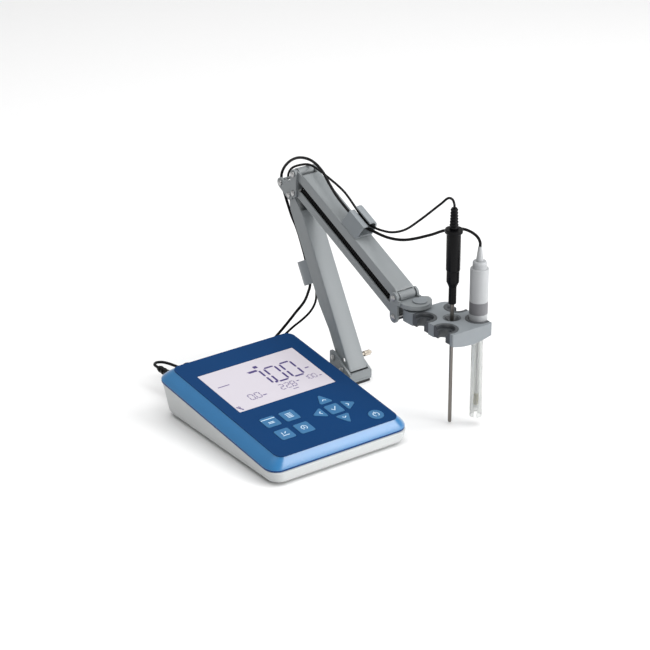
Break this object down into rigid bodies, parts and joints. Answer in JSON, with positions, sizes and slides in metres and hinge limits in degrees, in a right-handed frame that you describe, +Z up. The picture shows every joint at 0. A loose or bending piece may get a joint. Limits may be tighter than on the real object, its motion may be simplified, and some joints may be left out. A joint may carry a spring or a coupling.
{
  "type": "ph meter",
  "caption": "Bench ph meter with a sloping display deck and keypad, a jointed electrode arm, an electrode holder, a ph electrode, a temperature probe and their cables.",
  "frame": {"origin": "middle of the meter's underside, feet excluded", "axes": "+X to the user's right, +Y to the rear of the meter, +Z up"},
  "size_m": [0.2574, 0.2984, 0.244],
  "materials": {
    "case": "fine-grained moulded plastic",
    "cover": "satin moulded plastic",
    "label": "printed polyester film",
    "display": "clear window over a pale liquid-crystal display",
    "board": "lacquered circuit board",
    "mat": "silicone dome sheet",
    "key": "satin moulded keys",
    "foot": "matt rubber",
    "socket": "moulded socket",
    "arm_paint": "grey powder coat on folded steel",
    "pin": "turned steel",
    "spring": "black coated spring steel",
    "holder": "moulded plastic",
    "collar": "soft rubber",
    "probe": "moulded plastic",
    "rod": "stainless steel",
    "tube": "glass tube",
    "cable": "smooth cable sheath"
  },
  "bodies": {
    "meter": {"lower_case": "case", "upper_cover": "cover", "label_panel": "label", "lcd_window": "display", "lcd_module": "display", "keypad_mat": "mat", "main_board": "board", "foot_1": "foot", "foot_2": "foot", "foot_3": "foot", "foot_4": "foot", "ph_socket": "socket", "temperature_socket": "socket", "power_socket": "socket", "foot_plate": "arm_paint", "foot_pad": "foot", "base_bracket": "arm_paint", "base_pin_front": "pin", "base_pin_rear": "pin", "ph_plug": "cable", "temperature_plug": "cable", "ph_cable": "cable", "temperature_cable": "cable"},
    "lower_arm": {"lower_arm_channel": "arm_paint"},
    "tension_screw": {"tension_screw": "pin"},
    "lower_link": {"lower_arm_link": "arm_paint", "lower_cable_clip": "holder"},
    "elbow": {"elbow_bracket": "arm_paint", "elbow_pin_lower_front": "pin", "elbow_pin_lower_rear": "pin", "elbow_pin_upper_top": "pin", "elbow_pin_upper_bottom": "pin"},
    "upper_arm": {"upper_arm_channel": "arm_paint", "balance_spring": "spring", "upper_cable_clip": "holder"},
    "upper_link": {"upper_arm_link": "arm_paint"},
    "knuckle": {"knuckle_bracket": "arm_paint", "knuckle_pin_upper": "pin", "knuckle_pin_lower": "pin", "swivel_stud": "holder"},
    "holder": {"electrode_holder": "holder", "holder_collar_left_front": "collar", "holder_collar_left_rear": "collar", "holder_collar_right_front": "collar", "holder_collar_right_rear": "collar"},
    "ph_electrode": {"ph_strain_relief": "cable", "ph_head": "probe", "ph_glass": "tube"},
    "temperature_probe": {"temperature_handle": "probe", "temperature_rod": "rod"},
    "function_key_left_upper": {"function_key_left_upper": "key"},
    "function_key_right_upper": {"function_key_right_upper": "key"},
    "function_key_left_lower": {"function_key_left_lower": "key"},
    "function_key_right_lower": {"function_key_right_lower": "key"},
    "arrow_key_up": {"arrow_key_up": "key"},
    "arrow_key_down": {"arrow_key_down": "key"},
    "arrow_key_left": {"arrow_key_left": "key"},
    "arrow_key_right": {"arrow_key_right": "key"},
    "enter_key": {"enter_key": "key"},
    "power_key": {"power_key": "key"}
  },
  "joints": [
    {"name": "lower_arm_tilt", "type": "hinge", "parent": "meter", "child": "lower_link", "pos_m": [0.126, 0.0656, 0.0213], "axis": [1, 0, 0], "range_deg": [0, 30], "deforming": ["ph_cable", "temperature_cable"]},
    {"name": "lower_channel_tilt", "type": "hinge", "parent": "meter", "child": "lower_arm", "pos_m": [0.126, 0.0504, 0.0125], "axis": [1, 0, 0], "range_deg": [0, 30]},
    {"name": "elbow_level", "type": "hinge", "parent": "lower_link", "child": "elbow", "pos_m": [0.126, 0.15879, 0.1886], "axis": [1, 0, 0], "range_deg": [-30, 0]},
    {"name": "upper_arm_tilt", "type": "hinge", "parent": "elbow", "child": "upper_arm", "pos_m": [0.126, 0.136, 0.205], "axis": [-1, 0, 0], "range_deg": [0, 48], "deforming": ["ph_cable", "temperature_cable"]},
    {"name": "upper_link_tilt", "type": "hinge", "parent": "elbow", "child": "upper_link", "pos_m": [0.126, 0.136, 0.184], "axis": [-1, 0, 0], "range_deg": [0, 48]},
    {"name": "knuckle_level", "type": "hinge", "parent": "upper_arm", "child": "knuckle", "pos_m": [0.126, -0.03561, 0.12509], "axis": [-1, 0, 0], "range_deg": [-48, 0]},
    {"name": "holder_swivel", "type": "hinge", "parent": "knuckle", "child": "holder", "pos_m": [0.133, -0.05161, 0.115], "axis": [0, 0, 1], "range_deg": [-4, 40], "deforming": ["ph_cable", "temperature_cable"]},
    {"name": "ph_electrode_lift", "type": "slide", "parent": "holder", "child": "ph_electrode", "axis": [0, 0, 1], "range_m": [0, 0.04], "deforming": ["ph_cable"]},
    {"name": "temperature_probe_lift", "type": "slide", "parent": "holder", "child": "temperature_probe", "axis": [0, 0, 1], "range_m": [0, 0.04], "deforming": ["temperature_cable"]},
    {"name": "tension_screw_turn", "type": "hinge", "parent": "lower_arm", "child": "tension_screw", "pos_m": [0.126, 0.05072, 0.02274], "axis": [1, 0, 0], "range_deg": [-180, 180]},
    {"name": "function_key_left_upper_press", "type": "slide", "parent": "meter", "child": "function_key_left_upper", "axis": [0, 0.129, -0.9916], "range_m": [0, 0.0008], "stiffness_N_per_m": 300, "springref_m": -0.002},
    {"name": "function_key_right_upper_press", "type": "slide", "parent": "meter", "child": "function_key_right_upper", "axis": [0, 0.129, -0.9916], "range_m": [0, 0.0008], "stiffness_N_per_m": 300, "springref_m": -0.002},
    {"name": "function_key_left_lower_press", "type": "slide", "parent": "meter", "child": "function_key_left_lower", "axis": [0, 0.129, -0.9916], "range_m": [0, 0.0008], "stiffness_N_per_m": 300, "springref_m": -0.002},
    {"name": "function_key_right_lower_press", "type": "slide", "parent": "meter", "child": "function_key_right_lower", "axis": [0, 0.129, -0.9916], "range_m": [0, 0.0008], "stiffness_N_per_m": 300, "springref_m": -0.002},
    {"name": "arrow_key_up_press", "type": "slide", "parent": "meter", "child": "arrow_key_up", "axis": [0, 0.129, -0.9916], "range_m": [0, 0.0008], "stiffness_N_per_m": 300, "springref_m": -0.002},
    {"name": "arrow_key_down_press", "type": "slide", "parent": "meter", "child": "arrow_key_down", "axis": [0, 0.129, -0.9916], "range_m": [0, 0.0008], "stiffness_N_per_m": 300, "springref_m": -0.002},
    {"name": "arrow_key_left_press", "type": "slide", "parent": "meter", "child": "arrow_key_left", "axis": [0, 0.129, -0.9916], "range_m": [0, 0.0008], "stiffness_N_per_m": 300, "springref_m": -0.002},
    {"name": "arrow_key_right_press", "type": "slide", "parent": "meter", "child": "arrow_key_right", "axis": [0, 0.129, -0.9916], "range_m": [0, 0.0008], "stiffness_N_per_m": 300, "springref_m": -0.002},
    {"name": "enter_key_press", "type": "slide", "parent": "meter", "child": "enter_key", "axis": [0, 0.129, -0.9916], "range_m": [0, 0.0008], "stiffness_N_per_m": 300, "springref_m": -0.002},
    {"name": "power_key_press", "type": "slide", "parent": "meter", "child": "power_key", "axis": [0, 0.129, -0.9916], "range_m": [0, 0.0008], "stiffness_N_per_m": 300, "springref_m": -0.002}
  ],
  "couplings": [
    {"joint": "lower_channel_tilt", "follows": "lower_arm_tilt", "ratio": 1},
    {"joint": "elbow_level", "follows": "lower_arm_tilt", "ratio": -1},
    {"joint": "upper_link_tilt", "follows": "upper_arm_tilt", "ratio": 1},
    {"joint": "knuckle_level", "follows": "upper_arm_tilt", "ratio": -1}
  ]
}
